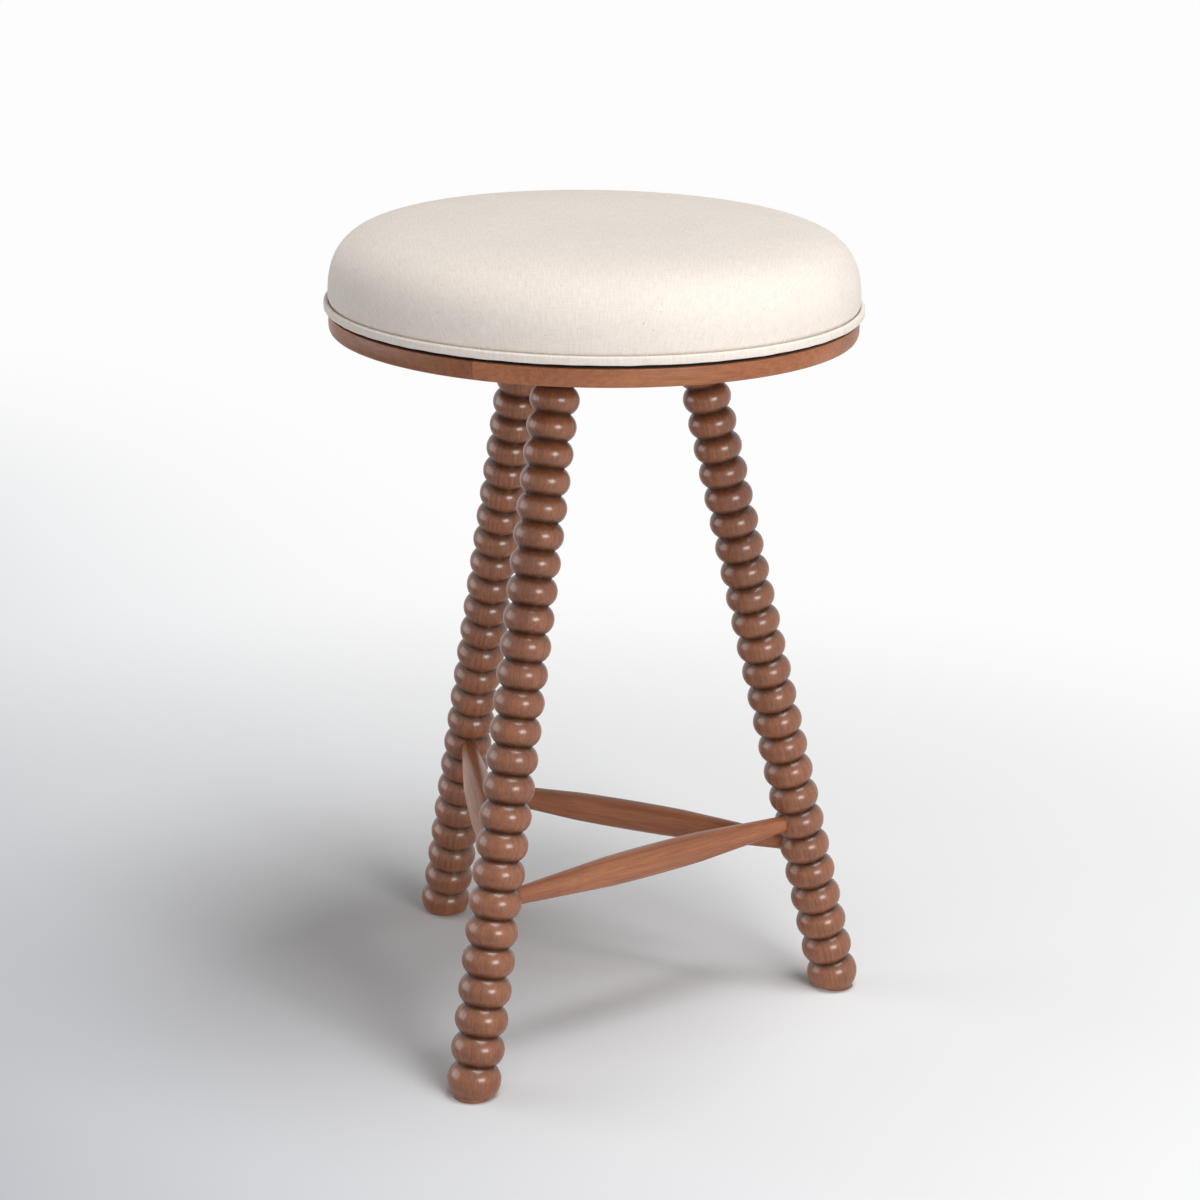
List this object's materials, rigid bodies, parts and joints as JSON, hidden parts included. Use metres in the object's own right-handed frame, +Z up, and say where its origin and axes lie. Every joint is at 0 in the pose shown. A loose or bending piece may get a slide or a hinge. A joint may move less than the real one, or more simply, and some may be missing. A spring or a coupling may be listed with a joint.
{
  "type": "counter stool",
  "caption": "Backless round counter stool with splayed bobbin-turned wooden legs, staggered turned stretchers and a crowned linen cushion on a wooden ring",
  "frame": {"origin": "on the floor, under the middle of the stool's bounding box, which is 10.2 mm from the seat's axis because a three-legged footprint isn't centred on its own box", "axes": "+Z up; the front leg stands toward -Y and the right leg toward +X and +Y"},
  "size_m": [0.4334, 0.454, 0.6699],
  "materials": {
    "stained_wood": "red-brown stain under satin lacquer",
    "bare_wood": "unfinished hardwood",
    "plywood": "unfinished plywood",
    "linen": "plain woven oatmeal linen",
    "black_cloth": "matt black lining",
    "foam": "cut upholstery foam",
    "steel": "zinc-plated"
  },
  "bodies": {
    "root": {"leg_front": "stained_wood", "leg_right": "stained_wood", "leg_rear": "stained_wood", "stretcher_low": "stained_wood", "stretcher_middle": "stained_wood", "stretcher_high": "stained_wood", "seat_core": "stained_wood", "seat_ring_segment_1": "stained_wood", "seat_ring_segment_2": "stained_wood", "seat_ring_segment_3": "stained_wood", "seat_ring_segment_4": "stained_wood", "tenon_wedge_front": "bare_wood", "tenon_wedge_right": "bare_wood", "tenon_wedge_rear": "bare_wood", "ring_spline_1": "bare_wood", "ring_spline_2": "bare_wood", "ring_spline_3": "bare_wood", "ring_spline_4": "bare_wood", "seat_board": "plywood", "seat_cover": "linen", "cover_band": "linen", "dust_cover": "black_cloth", "foam_pad": "foam", "seat_screw_1": "steel", "seat_screw_2": "steel", "seat_screw_3": "steel", "cover_staple_1": "steel", "cover_staple_2": "steel", "cover_staple_3": "steel", "cover_staple_4": "steel", "cover_staple_5": "steel", "cover_staple_6": "steel", "cover_staple_7": "steel", "cover_staple_8": "steel", "cover_staple_9": "steel", "cover_staple_10": "steel", "cover_staple_11": "steel", "cover_staple_12": "steel"}
  },
  "joints": []
}
